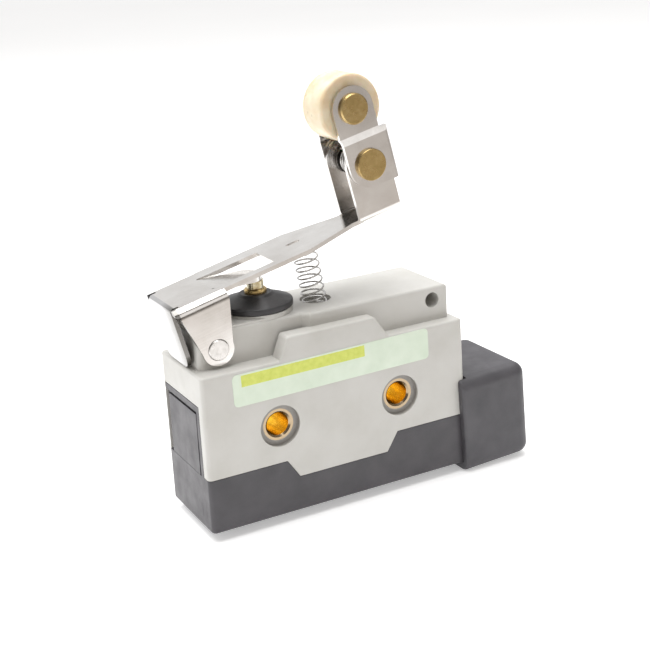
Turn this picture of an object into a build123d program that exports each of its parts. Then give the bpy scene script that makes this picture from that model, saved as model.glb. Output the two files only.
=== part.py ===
"""Enclosed snap-action limit switch with a one-way hinged roller lever.

Model frame while building: X along the housing, Y through its thickness (front face at -Y),
Z up, with z = 0 at the underside of the base and y = 0 in the middle of the housing.
The row frame is set when the parts are written: its origin is midway between the two
mounting holes, on the rear mounting face. All sizes are in millimetres.
"""
import os

from build123d import *

# ---- housing -------------------------------------------------------------------------------
BODY_LEN = 55.4
BODY_W = 19.6
BODY_TOP = 30.2
END_DRAFT = 0.013
HOLE_PITCH = 25.4
HOLE_Z = 17.8
WALL = 1.4
ROOF = 1.4
COUNTERBORE_R = 4.0
COUNTERBORE_DEPTH = 1.0
BLIND_HOLE = (22.3, 34.3)
BLIND_HOLE_R = 1.5
BLIND_HOLE_DEPTH = 5.0
CORNER_R = 0.9
EDGE_R = 0.5
FRONT_Y = -BODY_W / 2
BACK_Y = BODY_W / 2

# ---- joint line between the case and the base, front and rear ---------------------------------
PART_HIGH = 10.6
PART_LOW = 6.9
PART_LOW_X = 9.4
PART_HIGH_X = 11.8
JOINT_GAP = 0.12

# ---- rating label on the front face ------------------------------------------------------------
LABEL_SIZE = (40.8, 6.1)
LABEL_MID = (-1.0, 26.7)
LABEL_R = 1.0
LABEL_T = 0.08

# ---- raised head on top of the case --------------------------------------------------------
HEAD_TOP = 36.9
HEAD_X0 = -25.9
HEAD_CORNER_R = 1.2
PLATFORM_INSET = 0.3
HEAD_X1 = 25.6
HEAD_FRONT = -7.1
HEAD_FRONT_NARROW = -6.0
HEAD_STEP_X = (-5.2, -4.0)
HEAD_BACK = 9.2
HEAD_BACK_NARROW = 7.4
HEAD_NARROW_X = -15.0
PLATFORM_TOP = 37.3
RING_TOP = 37.8
TRAPEZE_TOP = 34.4
TRAPEZE_BASE = (-11.8, 10.9)
TRAPEZE_CREST = (-10.1, 8.1)

# ---- centre line that the lever, plunger and springs share ----------------------------------
LEVER_Y = 0.8

# ---- plunger and its seal --------------------------------------------------------------------
PLUNGER_X = -10.9
PLUNGER_R = 1.6
PLUNGER_TOP = 43.5
GUIDE_R = 3.2
RUN_FIT = 0.06
GUIDE_BORE = PLUNGER_R + RUN_FIT
PLUNGER_NOSE_R = 0.7
CAP_R = 6.7
CAP_RIM_TOP = 39.2
CAP_CROWN = 40.6
CAP_THICK = 0.8
COLLAR_R = 2.1
COLLAR_H = 0.8

# ---- lever, in its own frame: u along it, v square to it, origin on the pivot pin --------------
LEVER_ANGLE = 13.0
PIVOT_X = -22.2
PIVOT_Z = 33.8
SHEET = 0.8
PLATE_TOP = 9.8
PLATE_BOTTOM = PLATE_TOP - SHEET
PLATE_U0 = -5.5
PLATE_HALF = 6.4
EAR_OUTER = 7.7
EAR_BEND_R = 1.8
EAR_U = 4.85
EAR_END_R = 3.0
EAR_TOP_U0 = -4.7
TAB_HALF = 5.3
TAB_V0 = -2.25
TAB_R = 2.5
TAB_BEND_R = 0.7
RELIEF_W = 0.6
RELIEF_LEN = 1.6
TAPER_U0 = 23.0
TAPER_U1 = 33.6
NECK_HALF = 3.4
FLANGE_U0 = 35.0
FLANGE_U1 = 44.0
FLANGE_OUTER = 4.2
FLANGE_BEND_R = 1.3
WINDOW_U0 = 3.4
WINDOW_U1 = 16.0
WINDOW_Y = (-4.5, 3.1)
TONGUE_HALF = 3.35
TONGUE_MID = -0.7
TONGUE_CORNER_R = 2.4
TONGUE_TIP_U = 14.2
TONGUE_DROP = 11.0
SLOT_U = (20.9, 23.7)
SLOT_HALF = 0.45
PIN_R = 1.95
PIN_FIT = 0.05

# ---- one-way knuckle, roller and their rivets, in the lever's frame ---------------------------
RIVET_U = 39.5
RIVET_V = 19.6
RIVET_R = 1.5
RIVET_HEAD_R = 2.95
HEAD_H = 0.75
SLEEVE_R = 2.1
SLEEVE_FLANGE_R = 2.75
FLANGE_T = 0.6
TORSION_WIRE = 0.4
TORSION_PITCH = 0.62
CHEEK_GAP = 0.12
LOWER_INNER = FLANGE_OUTER + CHEEK_GAP
LOWER_OUTER = LOWER_INNER + SHEET
UPPER_OUTER = 4.55
UPPER_INNER = UPPER_OUTER - SHEET
CHEEK_U0 = 35.2
CHEEK_U1 = 44.9
CHEEK_FOOT_V = 15.3
JOGGLE_V0 = 24.5
JOGGLE_V1 = 25.7
AXLE_U = 39.2
AXLE_V = 30.4
AXLE_R = 1.5
AXLE_HEAD_R = 2.85
CHEEK_TOP_R = 4.15
ROLLER_R = 6.25
ROLLER_HALF = 3.6
ROLLER_EDGE_R = 0.6
ROLLER_BORE = AXLE_R + RUN_FIT

# ---- return spring under the lever ---------------------------------------------------------------
SPRING_X = 1.3
SPRING_R = 2.1
SPRING_WIRE = 0.38
SPRING_TURNS = 9
SEAT_R = 3.0
SEAT_DEPTH = 2.1
SPRING_TOP_U = 24.2

# ---- base, end panel and terminal boot -----------------------------------------------------------
FLOOR = 1.8
BASE_SCREW_X = (-20.5, 20.5)
SCREW_Y = 4.6
SCREW_R = 1.2
SCREW_HEAD_R = 2.2
SCREW_HEAD_Z = 1.15
BOSS_TOP = 6.4
PANEL_TOP = 24.3
PANEL_Y = (-7.6, 8.8)
PANEL_FRAME = 1.3
PANEL_RECESS = 0.5
PANEL_GAP = 0.15
PAD_Z0 = 2.2
BOOT_X0 = 26.6
BOOT_X1 = 42.2
BOOT_Y = (-11.3, BACK_Y)
BOOT_Z = (-1.9, 17.9)
BOOT_TILT = 2.5
BOOT_BODY_GAP = 0.08
BOOT_WALL = 1.6
BOOT_CAVITY_Z0 = 0.4
BOOT_R = 2.4
INLET_R = 4.2
GROMMET_BORE_R = 3.0
NECK_X1 = 31.2
NECK_HALF_Y = 7.8
NECK_Z = (1.2, 14.6)
INLET_Z = 8.0

# ---- snap-action switch inside ------------------------------------------------------------------
SW_X = 24.6
SW_HALF = 7.9
SW_Z = (7.6, 28.4)
SW_WALL = 1.3
BUSH_R = 3.05
BUSH_BORE = 2.2
BUSH_CHAMFER = 0.35
BUSH_PASS = BUSH_R + 0.15
CHAMBER_Z = (22.0, 27.2)
PIN_TIP_R = 1.0
ANCHOR_X = -20.5
CONTACT_X = 18.4
CLOSED_X = 21.6
BLADE_Z = 24.4
BLADE_HALF = 3.0
BLADE_SLOT = (-14.5, 14.0)
SLOT_Y = 1.6
BLADE_T = 0.25
TERMINAL_HALF = 2.2
TERMINAL_T = 0.9
TAB_GAP = 1.0
TAB_X = (-13.0, 7.0, 12.3)
TERMINAL_SCREW_X = (-15.5, 4.6, 14.4)
TERMINAL_HOLE_R = 1.25
COVER_RIVETS = ((-4.5, 19.6), (5.5, 19.6))
COVER_RIVET_R = 1.0
CONTACT_R = 1.4
CONTACT_T = 0.6
SNAP_T = 0.15
ARM_TOP = CHAMBER_Z[0] + 0.5
SHELF_Z = CHAMBER_Z[1] - 0.7
ARM_HALF = 1.4
PLUNGER_FOOT = SW_Z[1] + 2.3
PIN_TIP_TOP = PLUNGER_FOOT + 0.3
OVERTRAVEL_TOP = PIN_TIP_TOP + 2.7
OVERTRAVEL_R = 0.7
OVERTRAVEL_WIRE = 0.18
OVERTRAVEL_TURNS = 5

parts = {}
lever_frame = Location((PIVOT_X, LEVER_Y, PIVOT_Z), (0, -LEVER_ANGLE, 0))
row_shift = Pos(0, -BODY_W / 2, -HOLE_Z)


def box(x0, x1, y0, y1, z0, z1):
    """A block between two opposite corners."""
    return Pos((x0 + x1) / 2, (y0 + y1) / 2, (z0 + z1) / 2) * Box(x1 - x0, y1 - y0, z1 - z0)


def rod_z(x, y, z0, z1, r):
    """A vertical round bar."""
    return Pos(x, y, (z0 + z1) / 2) * Cylinder(r, z1 - z0)


def rod_y(x, z, y0, y1, r):
    """A round bar through the thickness."""
    return Pos(x, (y0 + y1) / 2, z) * Rot(90, 0, 0) * Cylinder(r, y1 - y0)


def rod_x(y, z, x0, x1, r):
    """A round bar along the housing."""
    return Pos((x0 + x1) / 2, y, z) * Rot(0, 90, 0) * Cylinder(r, x1 - x0)


def side_slab(points, y0, y1):
    """A flat outline drawn in X and Z, thick from y0 to y1."""
    face = Plane.XZ * make_face(Polyline(*points, close=True))
    return Pos(0, y1, 0) * extrude(face, amount=y1 - y0)


def flat_slab(points, z0, z1):
    """A flat outline drawn in X and Y, thick from z0 to z1."""
    face = make_face(Polyline(*points, close=True))
    return Pos(0, 0, z0) * extrude(face, amount=z1 - z0)


def end_slab(points, x0, x1):
    """A flat outline drawn in Y and Z, thick from x0 to x1."""
    face = Plane.YZ * make_face(Polyline(*points, close=True))
    return Pos(x0, 0, 0) * extrude(face, amount=x1 - x0)


def coil(r, pitch, height, wire_r):
    """An open helical spring standing on z = 0."""
    path = Helix(pitch=pitch, height=height, radius=r)
    section = Plane(origin=path @ 0, z_dir=path % 0) * Circle(wire_r)
    return sweep(section, path=path, is_frenet=True)


def end_x(z):
    """Half length of the drafted housing at a height."""
    return BODY_LEN / 2 - END_DRAFT * z


def body_outline(z0, z1):
    """The housing's side outline between two heights."""
    return [(-end_x(z0), z0), (end_x(z0), z0), (end_x(z1), z1), (-end_x(z1), z1)]


def joint_line(offset):
    """The stepped line between base and case, from left to right, raised by offset."""
    far = BODY_LEN
    return [
        (-far, PART_HIGH + offset), (-PART_HIGH_X, PART_HIGH + offset),
        (-PART_LOW_X, PART_LOW + offset), (PART_LOW_X, PART_LOW + offset),
        (PART_HIGH_X, PART_HIGH + offset), (far, PART_HIGH + offset),
    ]


def housing_block():
    """The whole drafted housing up to its top, with softened upright corners."""
    block = side_slab(body_outline(0, BODY_TOP), FRONT_Y, BACK_Y)
    upright = block.edges().filter_by(lambda e: abs(e.tangent_at(0.5).Z) > 0.9)
    return fillet(upright, CORNER_R)


def add(name, shape):
    """Keeps a finished part under its node name."""
    parts[name] = shape


# ---- case ------------------------------------------------------------------------------------------
def head_block():
    """The raised head, narrower at the back beside the lever's far ear."""
    outline = [
        (HEAD_X0, HEAD_FRONT_NARROW), (HEAD_STEP_X[0], HEAD_FRONT_NARROW), (HEAD_STEP_X[1], HEAD_FRONT),
        (HEAD_X1, HEAD_FRONT), (HEAD_X1, HEAD_BACK),
        (HEAD_NARROW_X, HEAD_BACK), (HEAD_NARROW_X, HEAD_BACK_NARROW), (HEAD_X0, HEAD_BACK_NARROW),
    ]
    head = flat_slab(outline, BODY_TOP - 0.1, HEAD_TOP)
    end_corners = head.edges().filter_by(Axis.Z).group_by(Axis.X)[0]
    head = fillet(end_corners, HEAD_CORNER_R)
    head = fillet(head.edges().group_by(Axis.Z)[-1], EDGE_R)
    platform = box(
        HEAD_X0 + HEAD_CORNER_R, PLUNGER_X, HEAD_FRONT_NARROW + PLATFORM_INSET,
        HEAD_BACK_NARROW - PLATFORM_INSET, BODY_TOP, PLATFORM_TOP)
    platform += rod_z(PLUNGER_X, LEVER_Y, BODY_TOP, PLATFORM_TOP, HEAD_BACK_NARROW - LEVER_Y)
    platform += rod_z(PLUNGER_X, LEVER_Y, BODY_TOP, RING_TOP, CAP_R - 0.1)
    return head + platform


def make_case():
    """Upper shell: front and rear walls, roof, head, bores and seats."""
    shell = housing_block()
    shell -= side_slab(joint_line(0) + [(BODY_LEN, -5), (-BODY_LEN, -5)], -BODY_W, BODY_W)
    roof_edges = shell.edges().group_by(Axis.Z)[-1]
    shell = fillet(roof_edges, EDGE_R)
    crest = [
        (TRAPEZE_BASE[0] - 1, BODY_TOP - 1.5), (TRAPEZE_BASE[1] + 1, BODY_TOP - 1.5),
        (TRAPEZE_BASE[1], BODY_TOP), (TRAPEZE_CREST[1], TRAPEZE_TOP),
        (TRAPEZE_CREST[0], TRAPEZE_TOP), (TRAPEZE_BASE[0], BODY_TOP),
    ]
    rise = side_slab(crest, FRONT_Y, HEAD_FRONT + 0.5)
    rise = fillet(rise.edges().filter_by(Axis.Y).group_by(Axis.Z)[-1], 0.8)
    front_rim = rise.edges().filter_by(
        lambda e: e.center().Y < FRONT_Y + 0.01 and e.center().Z > BODY_TOP)
    rise = fillet(front_rim, 0.4)
    shell = shell + rise + head_block()
    inner = end_x(BODY_TOP) - WALL
    shell -= box(-inner, inner, FRONT_Y + WALL, BACK_Y - WALL, -5, BODY_TOP - ROOF)
    shell -= box(-BODY_LEN, -inner + 1, PANEL_Y[0], PANEL_Y[1], -5, PANEL_TOP)
    shell -= box(inner - 1, BODY_LEN, -NECK_HALF_Y - 0.1, NECK_HALF_Y + 0.1, -5, NECK_Z[1] + 0.1)
    for x in (-HOLE_PITCH / 2, HOLE_PITCH / 2):
        shell -= rod_y(x, HOLE_Z, FRONT_Y - 1, BACK_Y + 1, BUSH_R)
        shell -= rod_y(x, HOLE_Z, FRONT_Y - 1, FRONT_Y + COUNTERBORE_DEPTH, COUNTERBORE_R)
    shell -= rod_z(PLUNGER_X, LEVER_Y, BODY_TOP - 3, RING_TOP + 1, GUIDE_R)
    shell -= rod_z(PLUNGER_X, LEVER_Y, RING_TOP - 0.9, RING_TOP + 1, CAP_R - 1.6)
    shell -= rod_z(SPRING_X, LEVER_Y, HEAD_TOP - SEAT_DEPTH, HEAD_TOP + 1, SEAT_R)
    shell -= rod_y(BLIND_HOLE[0], BLIND_HOLE[1], HEAD_FRONT - 1, HEAD_FRONT + BLIND_HOLE_DEPTH, BLIND_HOLE_R)
    shell -= rod_y(PIVOT_X, PIVOT_Z, FRONT_Y - 1, BACK_Y + 1, PIN_R)
    add("case_shell", shell)


# ---- base -------------------------------------------------------------------------------------------
def make_base():
    """Lower cover: a tray with the left end panel and the cable neck."""
    tray = housing_block() - side_slab(
        joint_line(-JOINT_GAP) + [(BODY_LEN, BODY_TOP * 2), (-BODY_LEN, BODY_TOP * 2)], -BODY_W, BODY_W)
    tray = fillet(tray.edges().group_by(Axis.Z)[0], EDGE_R)
    inner = end_x(BODY_TOP) - WALL - 0.2
    tray -= box(-inner, inner, FRONT_Y + WALL, BACK_Y - WALL, FLOOR, BODY_TOP)
    top = PANEL_TOP - PANEL_GAP
    panel = side_slab(
        [(-end_x(0), 1), (-inner + 0.1, 1), (-inner + 0.1, top), (-end_x(PANEL_TOP), top)],
        PANEL_Y[0] + PANEL_GAP, PANEL_Y[1] - PANEL_GAP)
    frame_top = PANEL_TOP - PANEL_FRAME
    low_x, high_x = PANEL_RECESS - end_x(0), PANEL_RECESS - end_x(PANEL_TOP)
    recess = side_slab(
        [(-BODY_LEN, 0.9), (low_x, 0.9), (high_x, frame_top), (-BODY_LEN, frame_top)],
        PANEL_Y[0] + PANEL_FRAME, PANEL_Y[1] - PANEL_GAP)
    pad_top = frame_top - 0.7
    pad_outline = [
        (low_x - PANEL_RECESS, PAD_Z0), (low_x, PAD_Z0),
        (high_x, pad_top), (high_x - PANEL_RECESS + 0.1, pad_top),
    ]
    pad = side_slab(
        pad_outline,
        PANEL_Y[0] + PANEL_FRAME + 0.6, PANEL_Y[1] - 1.2)
    tray = tray + (panel - recess) + pad
    neck = box(inner - 0.5, NECK_X1, -NECK_HALF_Y, NECK_HALF_Y, NECK_Z[0], NECK_Z[1])
    tray += neck - box(0, end_x(0) - WALL - 0.6, FRONT_Y, BACK_Y, FLOOR, BODY_TOP)
    tray -= box(
        inner - 1, NECK_X1 + 1, -NECK_HALF_Y + WALL, NECK_HALF_Y - WALL,
        NECK_Z[0] + WALL, NECK_Z[1] - WALL)
    for x in BASE_SCREW_X:
        tray += rod_z(x, SCREW_Y, 1, BOSS_TOP, SCREW_HEAD_R)
        tray -= rod_z(x, SCREW_Y, -1, BOSS_TOP + 1, SCREW_R + 0.05)
        tray -= rod_z(x, SCREW_Y, -1, SCREW_HEAD_Z + 0.05, SCREW_HEAD_R + 0.1)
    add("base_cover", tray)


def make_gasket():
    """Rubber seal lying on the tray's inner ledge."""
    inner = end_x(BODY_TOP) - WALL - 0.35
    ring = box(-inner, inner, FRONT_Y + WALL + 0.1, BACK_Y - WALL - 0.1, PART_LOW - 1.4, PART_LOW - 0.2)
    ring -= box(-inner + 1.0, inner - 1.0, FRONT_Y + WALL + 1.1, BACK_Y - WALL - 1.1, 0, PART_HIGH)
    add("base_gasket", ring - box(inner - 1.1, BODY_LEN, -8.2, 8.2, 0, 20))


def make_base_screws():
    """Two countersunk screws that clamp the base to the inner switch."""
    screws = []
    for x in BASE_SCREW_X:
        screw = rod_z(x, SCREW_Y, 0.15, SCREW_HEAD_Z, SCREW_HEAD_R)
        screw += rod_z(x, SCREW_Y, SCREW_HEAD_Z, SW_Z[0], SCREW_R)
        slot = box(x - 2.0, x + 2.0, SCREW_Y - 0.3, SCREW_Y + 0.3, 0, 0.65)
        screws.append(screw - slot)
    add("base_screws", Part() + screws)


# ---- parts fixed to the housing -----------------------------------------------------------------
def make_bushes():
    """Two brass bushes that carry the mounting screws through the housing."""
    bushes = []
    for x in (-HOLE_PITCH / 2, HOLE_PITCH / 2):
        bush = rod_y(x, HOLE_Z, FRONT_Y + COUNTERBORE_DEPTH, BACK_Y, BUSH_R)
        bush -= rod_y(x, HOLE_Z, FRONT_Y - 1, BACK_Y + 1, BUSH_BORE)
        mouth = bush.edges().filter_by(GeomType.CIRCLE).filter_by(lambda e: abs(e.radius - BUSH_BORE) < 0.01)
        bushes.append(chamfer(mouth, BUSH_CHAMFER))
    add("mounting_bushes", Part() + bushes)


def make_label():
    """Blank self-adhesive rating label on the front face."""
    outline = RectangleRounded(LABEL_SIZE[0], LABEL_SIZE[1], LABEL_R)
    plate = Pos(LABEL_MID[0], FRONT_Y, LABEL_MID[1]) * Rot(90, 0, 0) * extrude(outline, amount=LABEL_T)
    add("rating_label", plate)


def make_boot():
    """Soft rubber boot over the terminal end, with a round cable inlet."""
    boot = box(BOOT_X0, BOOT_X1, BOOT_Y[0], BOOT_Y[1], BOOT_Z[0], BOOT_Z[1])
    boot = fillet(boot.edges().filter_by(lambda e: e.center().X > BOOT_X0 + 0.1), BOOT_R)
    boot = fillet(boot.edges().group_by(Axis.X)[0], 0.6)
    tilt = Location((BOOT_X0, 0, 0), (0, -BOOT_TILT, 0)) * Pos(-BOOT_X0, 0, 0)
    boot = tilt * boot
    gap = BOOT_BODY_GAP
    boot -= box(BOOT_X0 - 5, BODY_LEN / 2 + gap, FRONT_Y - gap, BACK_Y + gap, -gap, BODY_TOP)
    reach = NECK_HALF_Y + gap
    boot -= box(BODY_LEN / 2 - 1, NECK_X1 + gap, -reach, reach, NECK_Z[0] - gap, NECK_Z[1] + gap)
    front, back = BOOT_Y[0] + BOOT_WALL, BOOT_Y[1] - BOOT_WALL
    boot -= box(NECK_X1 - 0.1, BOOT_X1 - BOOT_WALL, front, back, BOOT_CAVITY_Z0, NECK_Z[1] + 0.2)
    boot -= rod_x(0, INLET_Z, BOOT_X0, BOOT_X1 + 1, INLET_R)
    add("terminal_boot", boot)
    grommet = rod_x(0, INLET_Z, BOOT_X1 - 3.4, BOOT_X1 - 0.4, INLET_R - 0.02)
    grommet += rod_x(0, INLET_Z, BOOT_X1 - 3.4, BOOT_X1 - BOOT_WALL - 0.02, INLET_R + 1.4)
    grommet -= rod_x(0, INLET_Z, BOOT_X0, BOOT_X1 + 1, GROMMET_BORE_R)
    add("inlet_grommet", grommet)


def make_pivot_pin():
    """Steel pin through the head that the lever's ears turn on, peened at both ends."""
    half = EAR_OUTER + 0.25
    pin = rod_y(PIVOT_X, PIVOT_Z, LEVER_Y - half, LEVER_Y + half, PIN_R)
    add("lever_pivot_pin", chamfer(pin.edges(), 0.15))


def make_guide():
    """Brass guide bush pressed into the head for the plunger."""
    guide = rod_z(PLUNGER_X, LEVER_Y, BODY_TOP - ROOF, RING_TOP - 0.9, GUIDE_R)
    guide -= rod_z(PLUNGER_X, LEVER_Y, 0, HEAD_TOP * 2, GUIDE_BORE)
    add("plunger_guide", guide)


def make_cap():
    """Rubber diaphragm round the plunger, seated on the raised platform."""
    outer = [
        (PLUNGER_R + 0.15, RING_TOP), (CAP_R, RING_TOP), (CAP_R, CAP_RIM_TOP - 0.25),
        (CAP_R - 0.3, CAP_RIM_TOP), (COLLAR_R + 1.2, CAP_CROWN), (PLUNGER_R + 0.15, CAP_CROWN),
    ]
    inner = [
        (0, RING_TOP - 1), (CAP_R - 1.8, RING_TOP - 1), (CAP_R - 1.8, CAP_RIM_TOP - 0.6),
        (COLLAR_R + 1.2, CAP_CROWN - CAP_THICK), (0, CAP_CROWN - CAP_THICK),
    ]
    skirt = revolve(Plane.XZ * make_face(Polyline(*outer, close=True)), Axis.Z)
    hollow = revolve(Plane.XZ * make_face(Polyline(*inner, close=True)), Axis.Z)
    add("plunger_diaphragm", Pos(PLUNGER_X, LEVER_Y, 0) * (skirt - hollow))


# ---- plunger ---------------------------------------------------------------------------------------
def make_plunger():
    """Brass plunger whose hollow foot slides over the switch's own pin, with its overtravel spring."""
    stem = rod_z(PLUNGER_X, LEVER_Y, PLUNGER_FOOT, PLUNGER_TOP, PLUNGER_R)
    stem = fillet(stem.edges().group_by(Axis.Z)[-1], PLUNGER_NOSE_R)
    stem -= rod_z(PLUNGER_X, LEVER_Y, PLUNGER_FOOT - 1, OVERTRAVEL_TOP, PIN_TIP_R + RUN_FIT)
    add("plunger", stem)
    gap = OVERTRAVEL_TOP - PIN_TIP_TOP - OVERTRAVEL_WIRE
    spring = coil(OVERTRAVEL_R, gap / OVERTRAVEL_TURNS, gap, OVERTRAVEL_WIRE / 2)
    add("plunger_overtravel_spring", Pos(PLUNGER_X, LEVER_Y, PIN_TIP_TOP + OVERTRAVEL_WIRE / 2) * spring)
    collar = rod_z(PLUNGER_X, LEVER_Y, CAP_CROWN, CAP_CROWN + COLLAR_H, COLLAR_R)
    collar = chamfer(collar.edges().group_by(Axis.Z)[-1], 0.2)
    collar -= rod_z(PLUNGER_X, LEVER_Y, 0, HEAD_TOP * 2, PLUNGER_R)
    add("plunger_collar", collar)


# ---- lever -----------------------------------------------------------------------------------------
def channel_face(outer, bend_r, plate_v, far_v, opens_up):
    """Cross-section of a bent sheet channel, drawn across the lever."""
    inner = outer - SHEET
    low, high = (plate_v, far_v) if opens_up else (far_v, plate_v)
    wide = Pos(0, (low + high) / 2) * Rectangle(2 * outer, high - low)
    base_corners = wide.vertices().group_by(Axis.Y)[0 if opens_up else -1]
    wide = fillet(base_corners, bend_r)
    shift = SHEET if opens_up else -SHEET
    slim = Pos(0, (low + high) / 2 + shift) * Rectangle(2 * inner, high - low)
    slim_corners = slim.vertices().group_by(Axis.Y)[0 if opens_up else -1]
    slim = fillet(slim_corners, bend_r - SHEET)
    return wide - slim


def run_along(section, u0, u1):
    """Runs a cross-section along the lever from u0 to u1."""
    return Pos(u0, 0, 0) * extrude(Plane.YZ * section, amount=u1 - u0)


def with_rear_tab(lever):
    """Adds the tab bent down from the plate's rear edge, with a relief slot beside each ear."""
    tab = box(PLATE_U0, PLATE_U0 + SHEET, -TAB_HALF, TAB_HALF, TAB_V0, PLATE_TOP)
    tab = fillet(tab.edges().filter_by(Axis.X).group_by(Axis.Z)[0], TAB_R)
    bend_u, bend_v = PLATE_U0 + TAB_BEND_R, PLATE_TOP - TAB_BEND_R
    corner = box(PLATE_U0 - 1, bend_u, -TAB_HALF, TAB_HALF, bend_v, PLATE_TOP + 1)
    corner -= rod_y(bend_u, bend_v, -TAB_HALF, TAB_HALF, TAB_BEND_R)
    lever = lever + tab - corner
    for y in (-TAB_HALF - RELIEF_W, TAB_HALF):
        lever -= box(PLATE_U0 - 1, PLATE_U0 + RELIEF_LEN, y, y + RELIEF_W, PLATE_BOTTOM - 1, PLATE_TOP + 1)
    return lever


def make_lever():
    """Sheet-steel lever: ears, rear tab, pressed-down tongue, tapered neck and bracket flanges."""
    ears = run_along(channel_face(EAR_OUTER, EAR_BEND_R, PLATE_TOP, -EAR_END_R, False), PLATE_U0, EAR_U)
    ear_side = side_slab(
        [(PLATE_U0, PLATE_TOP + 1), (EAR_U, PLATE_TOP + 1), (EAR_U, PLATE_TOP - EAR_BEND_R),
         (EAR_END_R - 0.05, 0), (-EAR_END_R + 0.05, 0), (EAR_TOP_U0, PLATE_TOP - EAR_BEND_R),
         (PLATE_U0, PLATE_TOP - 1.0)], -BODY_W, BODY_W)
    ear_side += rod_y(0, 0, -BODY_W, BODY_W, EAR_END_R)
    ears = ears & ear_side
    start_u, end_u = EAR_U - 0.5, FLANGE_U0 + 1
    plan = [
        (start_u, -PLATE_HALF), (TAPER_U0, -PLATE_HALF), (TAPER_U1, -NECK_HALF), (end_u, -NECK_HALF),
        (end_u, NECK_HALF), (TAPER_U1, NECK_HALF), (TAPER_U0, PLATE_HALF), (start_u, PLATE_HALF),
    ]
    plate = flat_slab(plan, PLATE_BOTTOM, PLATE_TOP)
    top_v = RIVET_V + (FLANGE_U1 - FLANGE_U0) / 2
    flange_face = channel_face(FLANGE_OUTER, FLANGE_BEND_R, PLATE_BOTTOM, top_v, True)
    flanges = run_along(flange_face, FLANGE_U0, FLANGE_U1)
    flange_r = (FLANGE_U1 - FLANGE_U0) / 2
    flange_side = box(FLANGE_U0, FLANGE_U1, -BODY_W, BODY_W, PLATE_BOTTOM, RIVET_V)
    flange_side += rod_y(RIVET_U, RIVET_V, -BODY_W, BODY_W, flange_r)
    flanges = flanges & flange_side
    lever = with_rear_tab(ears + plate + flanges)
    window = box(WINDOW_U0, WINDOW_U1, WINDOW_Y[0], WINDOW_Y[1], PLATE_BOTTOM - 1, PLATE_TOP + 1)
    lever -= window
    tongue = box(0, TONGUE_TIP_U - WINDOW_U0, -TONGUE_HALF, TONGUE_HALF, -SHEET, 0)
    tongue = fillet(tongue.edges().filter_by(Axis.Z).group_by(Axis.X)[-1], TONGUE_CORNER_R)
    tongue = Location((WINDOW_U0 - 0.15, TONGUE_MID, PLATE_TOP), (0, TONGUE_DROP, 0)) * tongue
    lever += tongue
    slot_mid = (SLOT_U[0] + SLOT_U[1]) / 2
    lever -= Pos(slot_mid, 0, PLATE_BOTTOM - 1) * extrude(
        SlotOverall(SLOT_U[1] - SLOT_U[0], 2 * SLOT_HALF), amount=3)
    lever -= rod_y(0, 0, -BODY_W, BODY_W, PIN_R + PIN_FIT)
    lever -= rod_y(RIVET_U, RIVET_V, -BODY_W, BODY_W, RIVET_R + PIN_FIT)
    add("actuating_lever", lever_frame * lever)


def make_return_spring():
    """Open coil spring between the head and the lever."""
    foot = Vector(SPRING_X, LEVER_Y, HEAD_TOP - SEAT_DEPTH + SPRING_WIRE / 2 + 0.02)
    crown = (lever_frame * Pos(SPRING_TOP_U, 0, PLATE_BOTTOM - SPRING_WIRE - 0.35)).position
    axis = crown - foot
    spring = coil(SPRING_R, axis.length / SPRING_TURNS, axis.length, SPRING_WIRE / 2)
    spring = Plane(origin=foot, x_dir=(0, 1, 0), z_dir=axis).location * spring
    add("lever_return_spring", spring)


# ---- knuckle and roller -----------------------------------------------------------------------------
def make_knuckle():
    """U-shaped one-way knuckle: stepped cheeks joined by a web behind the bracket."""
    web = box(CHEEK_U1 - SHEET, CHEEK_U1, -LOWER_OUTER, LOWER_OUTER, CHEEK_FOOT_V, JOGGLE_V0 - 0.6)
    half_width = [
        (LOWER_OUTER, CHEEK_FOOT_V), (LOWER_OUTER, JOGGLE_V0), (UPPER_OUTER, JOGGLE_V1),
        (UPPER_OUTER, AXLE_V + CHEEK_TOP_R), (UPPER_INNER, AXLE_V + CHEEK_TOP_R),
        (UPPER_INNER, JOGGLE_V1 - 0.2),
        (LOWER_INNER, JOGGLE_V0 - 0.2), (LOWER_INNER, CHEEK_FOOT_V),
    ]
    cheek = end_slab(half_width, CHEEK_U0 - 1, CHEEK_U1)
    foot_r = RIVET_U - CHEEK_U0
    lower = box(CHEEK_U0, CHEEK_U1, -BODY_W, BODY_W, RIVET_V, JOGGLE_V0 + 0.9)
    lower += rod_y(RIVET_U, RIVET_V, -BODY_W, BODY_W, foot_r)
    lower += box(RIVET_U, CHEEK_U1, -BODY_W, BODY_W, RIVET_V - foot_r, RIVET_V)
    upper = box(AXLE_U - CHEEK_TOP_R, AXLE_U + CHEEK_TOP_R, -BODY_W, BODY_W, JOGGLE_V0 + 0.8, AXLE_V)
    upper += rod_y(AXLE_U, AXLE_V, -BODY_W, BODY_W, CHEEK_TOP_R)
    cheek = cheek & (lower + upper)
    knuckle = cheek + mirror(cheek, Plane.XZ) + web
    corners = knuckle.edges().filter_by(Axis.Z).filter_by(
        lambda e: e.center().X > CHEEK_U1 - 0.01 and abs(e.center().Y) > LOWER_OUTER - 0.01)
    knuckle = fillet(corners, 0.75)
    knuckle -= rod_y(RIVET_U, RIVET_V, -BODY_W, BODY_W, RIVET_R)
    knuckle -= rod_y(AXLE_U, AXLE_V, -BODY_W, BODY_W, AXLE_R)
    add("one_way_knuckle", lever_frame * knuckle)


def rivet(u, v, shank_r, head_r, face_y, chamfer_size):
    """A headed rivet across the knuckle whose heads bear on its outer faces."""
    body = rod_y(u, v, -face_y - 0.05, face_y + 0.05, shank_r)
    head = rod_y(u, v, face_y, face_y + HEAD_H, head_r)
    head = chamfer(head.edges().group_by(Axis.Y)[-1], chamfer_size)
    return body + head + mirror(head, Plane.XZ)


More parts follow.
